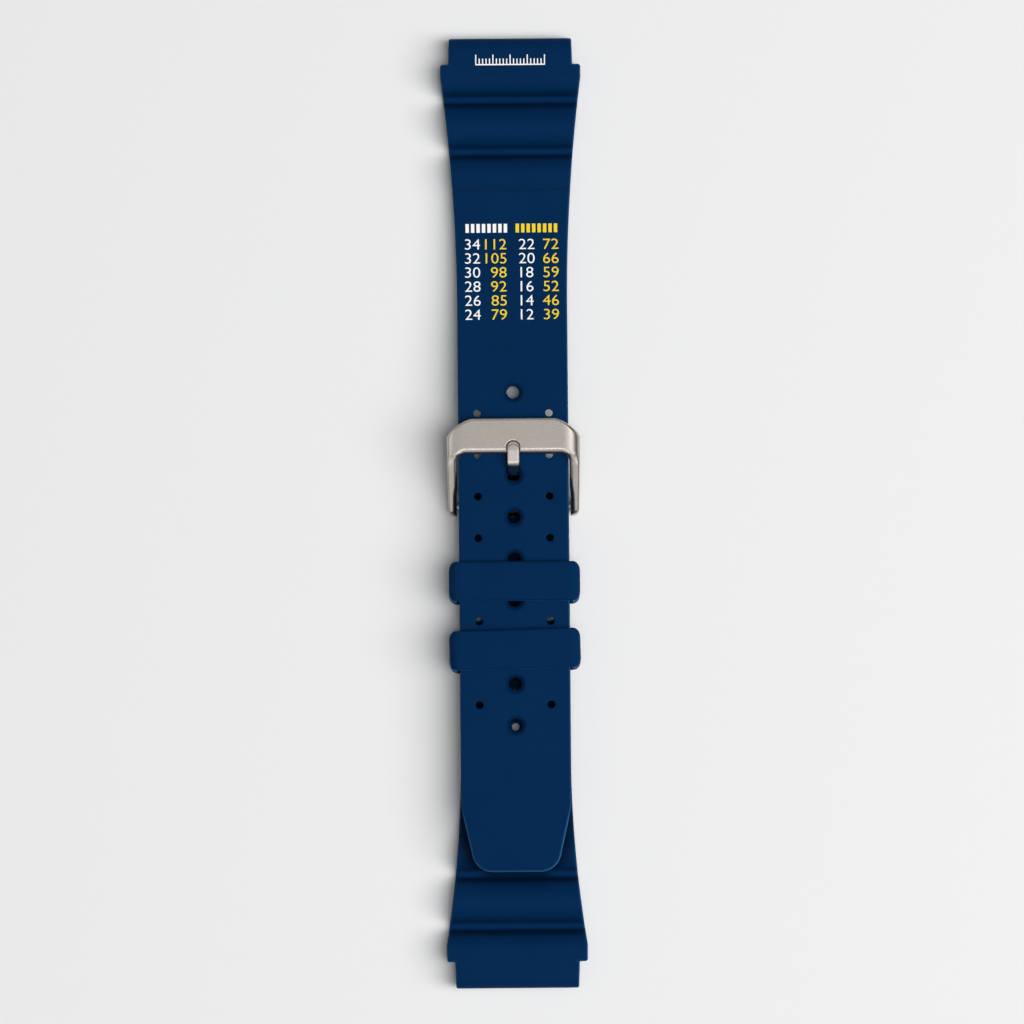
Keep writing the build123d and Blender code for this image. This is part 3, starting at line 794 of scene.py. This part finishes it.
def make_frame(material):
    """The stirrup as one slab over its U-shaped plan. The bar's top is level and bends down at
    both ends, the leg's top follows the line down to the eye and falls away inwards, and every
    edge is rounded by its distance to the outline. The notch for the tang is pressed into the
    top by a steep step round a bullet-shaped outline."""
    inner, outer = frame_outlines()
    up = outer[:, 1] < FRONT_Y - CORNER_DROP
    leg_y, leg_x = outer[up, 1], outer[up, 0]
    mirror = np.array([-1, 1])
    inner = np.concatenate([inner, inner[-2::-1] * mirror])
    outer = np.concatenate([outer, outer[-2::-1] * mirror])
    width = FRONT_Y - FRONT_BACK
    share = np.unique(np.round(np.concatenate([
        arc_steps(RIM_ROWS, 7), run(RIM_ROWS, 22, NOTCH_LENGTH + 0.35, 8, width - RIM_ROWS),
        width - arc_steps(RIM_ROWS, 8)]), 5)) / width
    grid = inner[:, None] + (outer - inner)[:, None] * share[None, :, None]
    x, y = grid[..., 0], grid[..., 1]
    ax = np.abs(x)
    side_top = np.where(y > FRONT_BACK, FRONT_TOP, tangent_line(y, (FRONT_BACK, FRONT_TOP), 1))
    side_top = np.where(y < BAR_Y - EYE_ROUND * TOUCH_ABOVE, eye_circle(y, 1), side_top)
    leg_low = np.minimum(tangent_line(y, LEG_FOOT, -1), LEG_FOOT[1])
    leg_low = np.where(y < BAR_Y + EYE_ROUND * TOUCH_BELOW, eye_circle(y, -1), leg_low)
    bar_low = FRONT_TOP - FRONT_THICK
    on_leg = smooth((ax - FOOT_X) / FOOT_SOFT) * smooth((FRONT_BACK + FOOT - y) / FOOT)
    on_leg = np.maximum(on_leg, smooth((FRONT_BACK - WINDOW + FOOT_SOFT - y) / FOOT_SOFT))
    low = bar_low + (leg_low - bar_low) * on_leg
    gap_in = nearest(x, y, *closely(inner))
    gap_out = nearest(x, y, *closely(outer))
    bar_share = smooth((y - (FRONT_BACK - BAR_LEAD)) / BAR_RUN)
    bend = BEND_DROP * fall((ax - (FRAME_OUTER - BEND)) / BEND, BEND_MOST)
    # the slope down to the inner outline, a rolled edge on the bar and on the legs
    face = np.minimum(np.interp(y, leg_y, leg_x) - FRAME_INNER - LEG_STRIP, ROLL)
    lean = LEG_ROLL * fall(np.maximum(face - gap_in, 0) / face)
    high = side_top - bend * bar_share
    thick = np.maximum(high - low, 0)
    slope = np.minimum(lean * (1 - bar_share) + fall(1 - gap_in / BAR_ROLL) * bar_share, thick * 0.75)
    edge_out = np.minimum(LEG_EDGE + (BAR_EDGE - LEG_EDGE) * bar_share, thick * 0.62)
    notch_y = FRONT_BACK + NOTCH_LENGTH - NOTCH_HALF
    off = np.where(y > notch_y, np.hypot(x, y - notch_y), ax) - NOTCH_HALF
    deep = NOTCH_DEPTH + NOTCH_FALL * smooth((FRONT_BACK + NOTCH_FALL_RUN - y) / NOTCH_FALL_RUN)
    notch = np.maximum(deep * smooth(0.5 - off / NOTCH_STEP), round_drop(np.maximum(off, 0.06), NOTCH_RIM))
    rim = np.maximum(slope, round_drop(gap_out, edge_out))
    top = high - np.maximum(rim, notch)
    under_edge = np.minimum(UNDER_EDGE, thick * 0.2)
    bottom = low + np.maximum(round_drop(gap_in, under_edge), round_drop(gap_out, under_edge))
    slab = Slab(x, y, np.maximum(top, bottom), bottom)
    last = len(inner) - 1
    first, second = places(inner[:len(inner) // 2, 1], BAR_Y - EYE_BLOCK, BAR_Y + EYE_BLOCK)
    for i0, i1 in ((first, second), (last - second, last - first)):
        slab.bore(i0, i1, 2, WALL_STEPS - 2, 0, len(share) - 1, (BAR_Y, BAR_HEIGHT), EYE)
    return slab.finish("buckle_stirrup", material)


TUBE = 0.95
CURL_THICK = 0.75
CURL_POINTS = 60
TANG_HALF = 1.1
TANG_WAIST = 0.6
WAIST_FROM = 3.1
WAIST_TO = 6.65
TANG_EDGE = 0.22
TANG_STEP = 0.12
TANG_THICK = 0.8
HOLE_Y = BAR_Y + 5.5
TANG_POST = HOLE_Y - 0.08
TANG_TURN = 5.98
TANG_KNEE = (HOLE_Y + 2.3, 7.6)
TANG_FLAT = BAR_Y + 10.1
TANG_TIP = BAR_Y + 11.1


def fillet_path(points, radii):
    """A line through corners with each corner turned on a circle, sampled at even steps."""
    points = np.array(points, float)
    out = [points[:1]]
    for before, at, after, radius in zip(points, points[1:], points[2:], radii):
        a, b = unit(before - at), unit(after - at)
        half = np.arccos(np.clip(a @ b, -1, 1)) / 2
        reach = radius / np.tan(half)
        centre = at + unit(a + b) * radius / np.sin(half)
        start, end = at + a * reach - centre, at + b * reach - centre
        t = np.linspace(0, 1, 14)[:, None]
        out.append(centre + unit(start * (1 - t) + end * t) * radius)
    out.append(points[-1:])
    line = np.concatenate(out)
    whole = lengths(line)[-1]
    return walk(line, np.linspace(0, whole, int(whole / TANG_STEP)))


def make_tang(material):
    """The tongue as one slab carried along its side view: curled round the tube, out under the
    strap, up through the hole in use, over its top and down into the notch."""
    curl = TUBE + CURL_THICK / 2
    rest_z = FRONT_TOP - NOTCH_DEPTH + 0.05 + TANG_THICK / 2
    angle = np.radians(np.linspace(-38, -318, CURL_POINTS))
    ring = np.column_stack([BAR_Y + curl * np.cos(angle), BAR_HEIGHT + curl * np.sin(angle)])
    rest = fillet_path([ring[-1], (BAR_Y + 2.0, BAR_HEIGHT), (TANG_POST, BAR_HEIGHT), (TANG_POST, TANG_TURN),
                        TANG_KNEE, (TANG_FLAT, rest_z), (TANG_TIP, rest_z)], (1.2, 0.8, 0.8, 0.5, 0.6))
    line = np.concatenate([ring[:-1], rest])
    ahead = unit(np.gradient(line, axis=0))
    across = np.column_stack([-ahead[:, 1], ahead[:, 0]])
    along = lengths(line)
    end, curled = along[-1], along[CURL_POINTS - 1]
    in_hole = smooth((line[:, 1] - WAIST_FROM) / 0.3) * smooth((WAIST_TO - line[:, 1]) / 0.8) * (along > curled)
    wide = TANG_HALF - (TANG_HALF - TANG_WAIST) * in_hole
    tip = end - arc_steps(TANG_HALF, 10)
    s = np.unique(np.concatenate([along[along < end - TANG_HALF], tip]))
    past = np.maximum(s - end + TANG_HALF, 0)
    half = np.minimum(np.interp(s, along, wide), np.sqrt(np.maximum(TANG_HALF ** 2 - past ** 2, 1e-6)))
    rim = arc_steps(TANG_EDGE, 4) / TANG_HALF
    columns = np.concatenate([-1 + rim, [-0.5, 0, 0.5], (1 - rim)[::-1]])
    x = half[:, None] * columns
    long_s = np.broadcast_to(s[:, None], x.shape)
    fine = np.linspace(0, end, 900)
    gap = np.minimum(nearest(np.abs(x), long_s, np.interp(fine, s, half), fine), long_s)
    thick = np.interp(s, [curled, curled + 1.2], [CURL_THICK, TANG_THICK])[:, None]
    high = thick / 2 - round_drop(gap, TANG_EDGE)
    slab = Slab(x, long_s, high, -high)
    # painted shade and painted reflection of the blue strap on the part below the knee that sinks into the hole
    sunk = smooth((TANG_KNEE[1] - 0.1 - np.interp(s, along, line[:, 1])) / 0.25) * (s > curled + 3)
    slab.deep[0] += np.broadcast_to(sunk[:, None], (WALL_STEPS + 1,) + x.shape).ravel()

    def carry(points):
        """Take points from the flat slab to their places along the line."""
        spot, way = (np.column_stack([np.interp(points[:, 1], along, v) for v in pair.T])
                     for pair in (line, across))
        return np.column_stack([points[:, 0], spot + unit(way) * points[:, 2:]])

    return slab.finish("buckle_tongue", material, carry)


# Spring inside the spring bar

WIRE = 0.12
COIL_PITCH = 1.3


def make_coil(side, tip, material):
    """Half of the coil spring, from the middle of the bar to one tip: a round wire carried along
    a helix, with a pointed cap on each end."""
    low, high = node_box("spring_bar_spring")
    half = high[0] - WIRE * 0.5
    coil = (high[2] - low[2]) / 2 - WIRE
    turn = np.linspace(0.01, 2 * np.pi * half / COIL_PITCH, 160)[:, None]
    round_it = np.linspace(0, 2 * np.pi, 10, endpoint=False)[None, :]
    x = side * half * turn / turn[-1]
    out = coil + WIRE * np.cos(round_it)
    along = x + WIRE * np.sin(round_it)
    rings = np.stack([along, BAR_Y + out * np.cos(turn), BAR_HEIGHT + out * np.sin(turn)], axis=-1)
    caps = rings[[0, -1]].mean(axis=1)
    ids = np.arange(rings.size // 3).reshape(rings.shape[:2])
    faces = [bridge(a, b) for a, b in zip(ids[:-1], ids[1:])]
    for ring, cap in ((ids[0], ids.size), (ids[-1], ids.size + 1)):
        faces.append(np.column_stack([ring, np.roll(ring, -1), np.full(len(ring), cap)]))
    return put_mesh(f"bar_spring_{tip}", np.concatenate([rings.reshape(-1, 3), caps]), faces, material)


# Printing

INK = 0.012
METRES = ((-7.07, (34, 32, 30, 28, 26, 24)), (2.72, (22, 20, 18, 16, 14, 12)))
FEET = ((-0.95, (112, 105, 98, 92, 85, 79)), (8.45, (72, 66, 59, 52, 46, 39)))
FIRST_ROW_Y = 48.4
ROW_PITCH = 2.55
DIGIT_HEIGHT = 1.9
DIGIT_PAIR = 2.85
HEADING = (50.5, 52.1)
BLOCKS = 8
BLOCK_HALF = 0.31
RULE_HALF = 6.3
RULE_BASE = (80.7, 80.92)
TICKS = 21
TICK_PITCH = 0.62
TICK_HALF = 0.1
TICK_TOP = 81.9
LONG_TICK_TOP = 82.6


def text_arrays(body):
    """Points and faces of a line of plain figures, thickened both ways."""
    curve = bpy.data.curves.new("figures", "FONT")
    curve.body = body
    curve.size = 1.0
    curve.extrude = 0.5
    curve.offset = -0.004
    curve.resolution_u = 4
    holder = link("figures", curve)
    bpy.context.view_layer.update()
    graph = bpy.context.evaluated_depsgraph_get()
    mesh = bpy.data.meshes.new_from_object(holder.evaluated_get(graph))
    points = np.array([v.co for v in mesh.vertices], float)
    faces = [tuple(p.vertices) for p in mesh.polygons]
    bpy.data.objects.remove(holder)
    bpy.data.curves.remove(curve)
    bpy.data.meshes.remove(mesh)
    return points, faces


def drape(points):
    """Lay flat ink on the long half's upper face: Z becomes the face's height plus a film whose
    lower side is sunk into the rubber."""
    height = half_face(1, HALF_LENGTH - points[:, 1], 1)
    film = np.where(points[:, 2] > 0, INK, -INK)
    return np.column_stack([points[:, 0], points[:, 1], height + film])


def ink_piece(name, parts, material):
    """Join inked shapes, each points and faces, into one piece."""
    points, faces, first = [], [], 0
    for some, quads in parts:
        points.append(drape(some))
        faces += [tuple(v + first for v in q) for q in quads]
        first += len(some)
    mesh = bpy.data.meshes.new(name)
    mesh.from_pydata((np.concatenate(points) * MM).tolist(), [], faces)
    mesh.materials.append(material)
    return link(name, mesh)


def figure(number, x, y, right):
    """One number, centred on x, or with its right edge at x when right is set, and centred on y."""
    points, faces = text_arrays(str(number))
    pair = text_arrays("00")[0]
    low, high = pair.min(axis=0), pair.max(axis=0)
    left, edge = points[:, 0].min(), points[:, 0].max()
    anchor = (edge if right else (left + edge) / 2, (low[1] + high[1]) / 2)
    size = np.array([DIGIT_PAIR, DIGIT_HEIGHT]) / (high - low)[:2]
    points[:, :2] = (x, y) + (points[:, :2] - anchor) * size
    return points, faces


def bar_shape(x0, x1, y0, y1, steps=6):
    """A flat bar of ink as a thin closed box, cut across often enough to follow the strap."""
    ring = np.array([(x0, -1), (x1, -1), (x1, 1), (x0, 1)], float)
    points = np.concatenate([np.column_stack([ring[:, 0], np.full(4, v), ring[:, 1]])
                             for v in np.linspace(y0, y1, steps + 1)])
    sides = [(i + (a + 1) % 4, i + a, i + 4 + a, i + 4 + (a + 1) % 4)
             for i in range(0, 4 * steps, 4) for a in range(4)]
    return points, sides + [(0, 1, 2, 3), tuple(4 * steps + a for a in (3, 2, 1, 0))]


# Materials

def srgb(*levels):
    """Screen levels from 0 to 255 as a linear colour."""
    c = np.array(levels, float) / 255
    return tuple(np.where(c <= 0.04045, c / 12.92, ((c + 0.055) / 1.055) ** 2.4)) + (1.0,)


class Skin:
    """A material with one Principled shader, whose own sockets take what is the same all over."""

    def __init__(self, name, **sockets):
        self.material = bpy.data.materials.new(name)
        self.material.use_nodes = True
        self.nodes = self.material.node_tree.nodes
        self.join = self.material.node_tree.links.new
        self.shader = self.nodes["Principled BSDF"]
        self.dial(self.shader, sockets)

    def dial(self, node, sockets):
        """Set a node's own sockets, named with _ for each space."""
        for name, value in sockets.items():
            node.inputs[name.replace("_", " ")].default_value = value

    def node(self, kind, **sockets):
        """Add a node of a kind."""
        node = self.nodes.new("ShaderNode" + kind)
        self.dial(node, sockets)
        return node

    def noise(self, scale, detail, stretch=(1, 1, 1)):
        """Noise in object space, scale in cells per metre, stretched along an axis where asked."""
        mapping = self.node("Mapping", Scale=stretch)
        self.join(self.node("TexCoord").outputs["Object"], mapping.inputs["Vector"])
        node = self.node("TexNoise", Scale=scale, Detail=detail)
        self.join(mapping.outputs["Vector"], node.inputs["Vector"])
        return node.outputs["Fac"]

    def rough(self, factor, low, high):
        """Roughness from low to high over the middle of a noise's range."""
        node = self.node("MapRange", From_Min=0.3, From_Max=0.7, To_Min=low, To_Max=high)
        self.join(factor, node.inputs["Value"])
        self.join(node.outputs["Result"], self.shader.inputs["Roughness"])

    def bump(self, height, depth):
        """Bumps as deep as depth metres."""
        node = self.node("Bump", Strength=1.0, Distance=depth)
        self.join(height, node.inputs["Height"])
        self.join(node.outputs["Normal"], self.shader.inputs["Normal"])

    def tint(self, factor, low, high, before=None):
        """Colour that goes from low, or from the tone before, to high."""
        mix = self.node("Mix")
        mix.data_type = "RGBA"
        start, end = [s for s in mix.inputs if s.type == "RGBA"]
        start.default_value, end.default_value = low, high
        self.join(factor, mix.inputs["Factor"])
        if before is not None:
            self.join(before, start)
        self.join([s for s in mix.outputs if s.type == "RGBA"][0], self.shader.inputs["Base Color"])

    def marked(self, mark, tone):
        """Take the colour towards a tone where a piece carries a mark."""
        attribute = self.node("Attribute")
        attribute.attribute_name = mark
        before = self.shader.inputs["Base Color"].links[0].from_socket
        self.tint(attribute.outputs["Fac"], tone, tone, before)


def rubber_material():
    """Matte moulded rubber: deep blue with slow tone changes, a fine spark-eroded grain, a faint
    bloom at grazing angles, a painted highlight that makes the rounded edges paler, and painted shade
    that takes it near black where it is marked deep."""
    skin = Skin("strap_rubber_skin", Specular_IOR_Level=0.03, Sheen_Weight=0.2, Sheen_Roughness=0.3,
                Sheen_Tint=(0.1, 0.45, 0.9, 1.0))
    skin.tint(skin.noise(90.0, 2.0), srgb(0, 38, 76), srgb(2, 42, 82))
    # painted highlight on the rounded edges, then painted shade near black
    skin.marked("worn", srgb(36, 94, 138))
    skin.marked("deep", srgb(0, 5, 12))
    skin.rough(skin.noise(900.0, 3.0), 0.52, 0.66)
    skin.bump(skin.noise(9000.0, 2.0), 0.000006)
    return skin.material


def steel_material(name, tone, stretch, rough):
    """Satin steel: fine brushed lines along one axis in roughness and bump, slow cloudy tone, and
    painted dark blue where it is marked deep: painted shade with a painted reflection of the blue strap."""
    skin = Skin(name, Metallic=1.0)
    skin.tint(skin.noise(260.0, 3.0), srgb(*(tone - 4)), srgb(*(tone + 4)))
    # painted shade and painted reflection of the dark blue strap where marked deep
    skin.marked("deep", srgb(32, 52, 84))
    lines = skin.noise(15000.0, 2.0, stretch)
    skin.rough(lines, rough - 0.02, rough + 0.04)
    skin.bump(lines, 0.00000012)
    return skin.material


def ink_material(name, colour):
    """Printed ink: slightly uneven, a little duller than plastic."""
    skin = Skin(name, Roughness=0.6, Specular_IOR_Level=0.3)
    skin.tint(skin.noise(5000.0, 3.0), tuple(v * 0.94 for v in colour[:3]) + (1.0,), colour)
    return skin.material


# Build

rubber = rubber_material()
buckle_steel = steel_material("buckle_steel_satin", np.array([186, 179, 172]), (0.12, 1.0, 1.0), 0.28)
bar_steel = steel_material("bar_steel_turned", np.array([170, 168, 165]), (1.0, 0.1, 0.1), 0.3)
spring_steel = steel_material("spring_steel_drawn", np.array([140, 140, 140]), (0.2, 1.0, 1.0), 0.3)
white_ink = ink_material("ink_white", srgb(255, 255, 255))
yellow_ink = ink_material("ink_yellow", srgb(250, 216, 30))

halves = (("long", 1), ("short", -1))
outers = [outer_piece(side, f"{half}_lug_rubber", rubber) for half, side in halves]
bands = [long_inner(rubber), short_inner(rubber)]
for (half, side), outer, band in zip(halves, outers, bands):
    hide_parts(f"{half}_strap_lug_end", f"{half}_strap_wave")
    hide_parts(f"{half}_strap_band")
    for piece, a, b, at in ((outer, f"{half}_lug_end", f"{half}_wave", GROOVE_1),
                            (band, f"{half}_wave", "strap_core", GROOVE_2)):
        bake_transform(piece)

for node, slot, piece in (
        ("keeper_upper", "strap_rubber", make_keeper("keeper_upper", 0.0, rubber)),
        ("keeper_lower", "strap_rubber", make_keeper("keeper_lower", 1.3, rubber)),
        ("buckle_frame", "buckle_steel", make_frame(buckle_steel)),
        ("buckle_tang", "buckle_steel", make_tang(buckle_steel))):
    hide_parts(node)
    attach(piece, node)

for side, tip in ((1, "right"), (-1, "left")):
    coil = make_coil(side, tip, spring_steel)
    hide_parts("spring_bar_spring")
    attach(coil, "strap_core")
    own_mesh(coil)

for node in ("spring_bar_tube", "spring_bar_tip_left", "spring_bar_tip_right"):
    for slot in frame["nodes"][node].material_slots:
        slot.material = bar_steel

prints = []
for name, ink, columns, right, ends in (("table_print_white", white_ink, METRES, False, (-8.0, -1.1)),
                                        ("table_print_yellow", yellow_ink, FEET, True, (1.05, 7.95))):
    parts = [figure(number, x, FIRST_ROW_Y - ROW_PITCH * row, right)
             for x, numbers in columns for row, number in enumerate(numbers)]
    parts += [bar_shape(x - BLOCK_HALF, x + BLOCK_HALF, *HEADING) for x in np.linspace(*ends, BLOCKS)]
    prints.append((ink_piece(name, parts, ink), "strap_core"))
ticks = [bar_shape(-RULE_HALF, RULE_HALF, *RULE_BASE, 1)]
for i in range(TICKS):
    x, top = TICK_PITCH * (i - TICKS // 2), TICK_TOP if i % 5 else LONG_TICK_TOP
    ticks.append(bar_shape(x - TICK_HALF, x + TICK_HALF, RULE_BASE[1], top, 1))
prints.append((ink_piece("lug_print_scale", ticks, white_ink), "long_lug_end"))
for piece, body in prints:
    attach(piece, body)

# Floor, light, camera

FLOOR_HALF = 3
FLOOR_DROP = 0.00003
floor_mesh = bpy.data.meshes.new("floor")
floor_mesh.from_pydata([(FLOOR_HALF * x, FLOOR_HALF * y, -FLOOR_DROP)
                        for x, y in ((-1, -1), (1, -1), (1, 1), (-1, 1))], [], [(0, 1, 2, 3)])
floor = link("floor", floor_mesh)
pale = Skin("floor_pale", Base_Color=srgb(240, 240, 240), Roughness=0.9, Specular_IOR_Level=0.1)
floor_mesh.materials.append(pale.material)

world = bpy.data.worlds.new("room")
bpy.context.scene.world = world
world.use_nodes = True
sky = world.node_tree.nodes["Background"].inputs
sky["Color"].default_value = (0.93, 0.96, 1.0, 1.0)
sky["Strength"].default_value = 0.06


def add_area(name, place, size, radiance, mirrored):
    """A soft lamp at place, turned towards the origin, of an even brightness where 1 is white. It
    is only seen mirrored in the steel, or else it lights matt surfaces only."""
    data = bpy.data.lights.new(name, "AREA")
    data.shape = "RECTANGLE"
    data.size, data.size_y = size
    data.energy = radiance * np.pi * size[0] * size[1]
    lamp = link(name, data)
    lamp.visible_diffuse = not mirrored
    lamp.visible_glossy = mirrored
    lamp.visible_camera = False
    back = unit(np.array(place))
    side = unit(np.cross((0, 1, 0), back))
    turned = np.eye(4)
    turned[:3, :3] = np.column_stack([side, np.cross(back, side), back])
    turned[:3, 3] = place
    lamp.matrix_world = Matrix(turned.tolist())


for name, place, size, radiance in (
        ("key_box", (1.35, -0.3, 1.875), (2.7, 1.35), 5.3),
        ("top_box", (-0.015, -0.12, 1.95), (0.57, 0.57), 5.5),
        ("fill_sheet", (-0.3, 0.0, 1.6), (3.0, 3.0), 0.1)):
    add_area(name, place, size, radiance, False)
for name, place, size, radiance in (
        ("ceiling_card", (-0.1, 0.06, 1.3), (1.1, 1.15), 0.69),
        ("east_card", (0.44, -0.1, 1.15), (0.26, 1.0), 2.7),
        ("south_card", (0.0, -0.58, 1.16), (0.9, 0.28), 3.0),
        ("low_south_card", (0.0, -1.04, 0.8), (1.6, 0.5), 0.9),
        ("low_east_card", (1.4, 0.0, 0.4), (0.9, 1.6), 0.52),
        ("left_card", (-0.95, 0.0, 0.8), (0.9, 1.6), 1.1),
        ("north_card", (0.0, 1.1, 0.65), (1.6, 1.0), 0.6)):
    add_area(name, place, size, radiance, True)

FOCAL_PIXELS = 5528.8
PICTURE = 1024
optics = bpy.data.cameras.new("camera")
camera = link("camera", optics)
bpy.context.scene.camera = camera
optics.sensor_width = 36.0
optics.lens = optics.sensor_width * FOCAL_PIXELS / PICTURE
optics.clip_start = 0.01
camera.location = (-0.54 * MM, -24.73 * MM, 1.0)
camera.rotation_euler = (0.02485, 0.0, -0.00832)

bpy.context.scene.view_settings.view_transform = "Standard"
